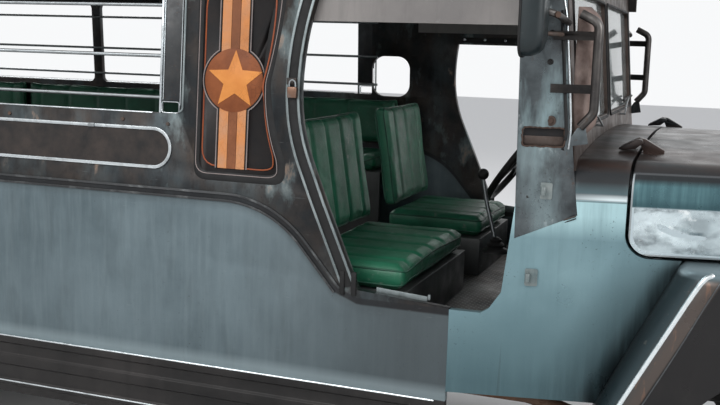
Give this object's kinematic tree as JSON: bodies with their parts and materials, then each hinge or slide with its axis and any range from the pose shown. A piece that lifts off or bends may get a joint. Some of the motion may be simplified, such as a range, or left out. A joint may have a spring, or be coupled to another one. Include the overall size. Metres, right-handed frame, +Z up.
{
  "type": "jeepney",
  "caption": "Long-bodied passenger jeepney with side benches, open windows, taper-sided hood, steered front wheels and a rear entrance step.",
  "frame": {"origin": "on the ground, half way between the front tow eyes and the rear step, in the middle across", "axes": "+X forward along the vehicle, +Y to the vehicle's left, +Z up"},
  "size_m": [6.0999, 2.12, 2.212],
  "materials": {
    "chassis_black": "worn satin black",
    "dark_iron": "dull, dusty",
    "engine_iron": "dull",
    "rusted_steel": "rusted",
    "floor_steel": "worn",
    "galvanised_steel": "bluish grey, scuffed",
    "ribbed_skirt": "dark satin",
    "star_paint": "orange and brown paint, crazed",
    "bright_steel": "bright, scratched",
    "roof_paint": "grey paint",
    "teal_paint": "teal paint, scuffed",
    "glass": "clear",
    "lamp_glass": "clear lens",
    "red_lens": "red lens",
    "dark_trim": "matte black",
    "green_vinyl": "green vinyl, worn",
    "wheel_steel": "silver paint",
    "tyre": "matte"
  },
  "bodies": {
    "chassis": {"frame": "chassis_black", "leaf_springs": "dark_iron", "front_axle": "dark_iron", "rear_axle": "dark_iron", "engine": "engine_iron", "radiator": "engine_iron", "propshaft": "dark_iron", "exhaust": "rusted_steel", "fuel_tank": "chassis_black", "floor": "floor_steel", "side_panel_right": "galvanised_steel", "side_panel_left": "galvanised_steel", "star_panel": "star_paint", "skirts": "ribbed_skirt", "window_bars": "bright_steel", "rear_wall": "galvanised_steel", "rear_step": "chassis_black", "roof": "roof_paint", "a_pillars": "galvanised_steel", "cowl": "teal_paint", "windscreen_frame": "galvanised_steel", "windscreen_glass": "glass", "dashboard": "dark_trim", "hood_hinges": "bright_steel", "fender_right": "teal_paint", "fender_left": "teal_paint", "grille": "bright_steel", "headlamps": "lamp_glass", "front_bumper": "bright_steel", "seat_boxes": "floor_steel", "bench_cushions": "green_vinyl", "backrests": "green_vinyl", "front_seat_cushions": "green_vinyl", "steering_column": "dark_iron", "grab_rails": "bright_steel", "cab_fan": "dark_trim", "mirrors": "teal_paint", "mirror_loops": "bright_steel", "tail_lamps": "red_lens", "window_channels": "galvanised_steel", "mouldings": "bright_steel"},
    "hood_lid": {"hood": "teal_paint"},
    "hand_wheel": {"steering_wheel": "dark_trim"},
    "steer_right": {"knuckle_right": "dark_iron"},
    "steer_left": {"knuckle_left": "dark_iron"},
    "road_wheel_front_right": {"wheel_front_right": "wheel_steel", "tyre_front_right": "tyre"},
    "road_wheel_front_left": {"wheel_front_left": "wheel_steel", "tyre_front_left": "tyre"},
    "road_wheel_rear_right": {"wheel_rear_right": "wheel_steel", "tyre_rear_right": "tyre"},
    "road_wheel_rear_left": {"wheel_rear_left": "wheel_steel", "tyre_rear_left": "tyre"}
  },
  "joints": [
    {"name": "hood_hinge", "type": "hinge", "parent": "chassis", "child": "hood_lid", "pos_m": [1.711, 0, 1.36], "axis": [0, -1, 0], "range_deg": [0, 55]},
    {"name": "steer_right_pivot", "type": "hinge", "parent": "chassis", "child": "steer_right", "pos_m": [2.3, -0.64, 0.37], "axis": [0, 0, 1], "range_deg": [-30, 30]},
    {"name": "steer_left_pivot", "type": "hinge", "parent": "chassis", "child": "steer_left", "pos_m": [2.3, 0.64, 0.37], "axis": [0, 0, 1], "range_deg": [-30, 30]},
    {"name": "hand_wheel_turn", "type": "hinge", "parent": "chassis", "child": "hand_wheel", "pos_m": [1.15, 0.43, 1.17], "axis": [-0.8192, 0, 0.5736], "range_deg": [-540, 540]},
    {"name": "spin_front_right", "type": "hinge", "parent": "steer_right", "child": "road_wheel_front_right", "pos_m": [2.3, -0.76, 0.37], "axis": [0, 1, 0], "continuous": true},
    {"name": "spin_front_left", "type": "hinge", "parent": "steer_left", "child": "road_wheel_front_left", "pos_m": [2.3, 0.76, 0.37], "axis": [0, 1, 0], "continuous": true},
    {"name": "spin_rear_right", "type": "hinge", "parent": "chassis", "child": "road_wheel_rear_right", "pos_m": [-1.38, -0.76, 0.37], "axis": [0, 1, 0], "continuous": true},
    {"name": "spin_rear_left", "type": "hinge", "parent": "chassis", "child": "road_wheel_rear_left", "pos_m": [-1.38, 0.76, 0.37], "axis": [0, 1, 0], "continuous": true}
  ],
  "couplings": [
    {"joint": "hand_wheel_turn", "follows": "steer_left_pivot", "ratio": 18},
    {"joint": "steer_right_pivot", "follows": "steer_left_pivot", "ratio": 1}
  ]
}
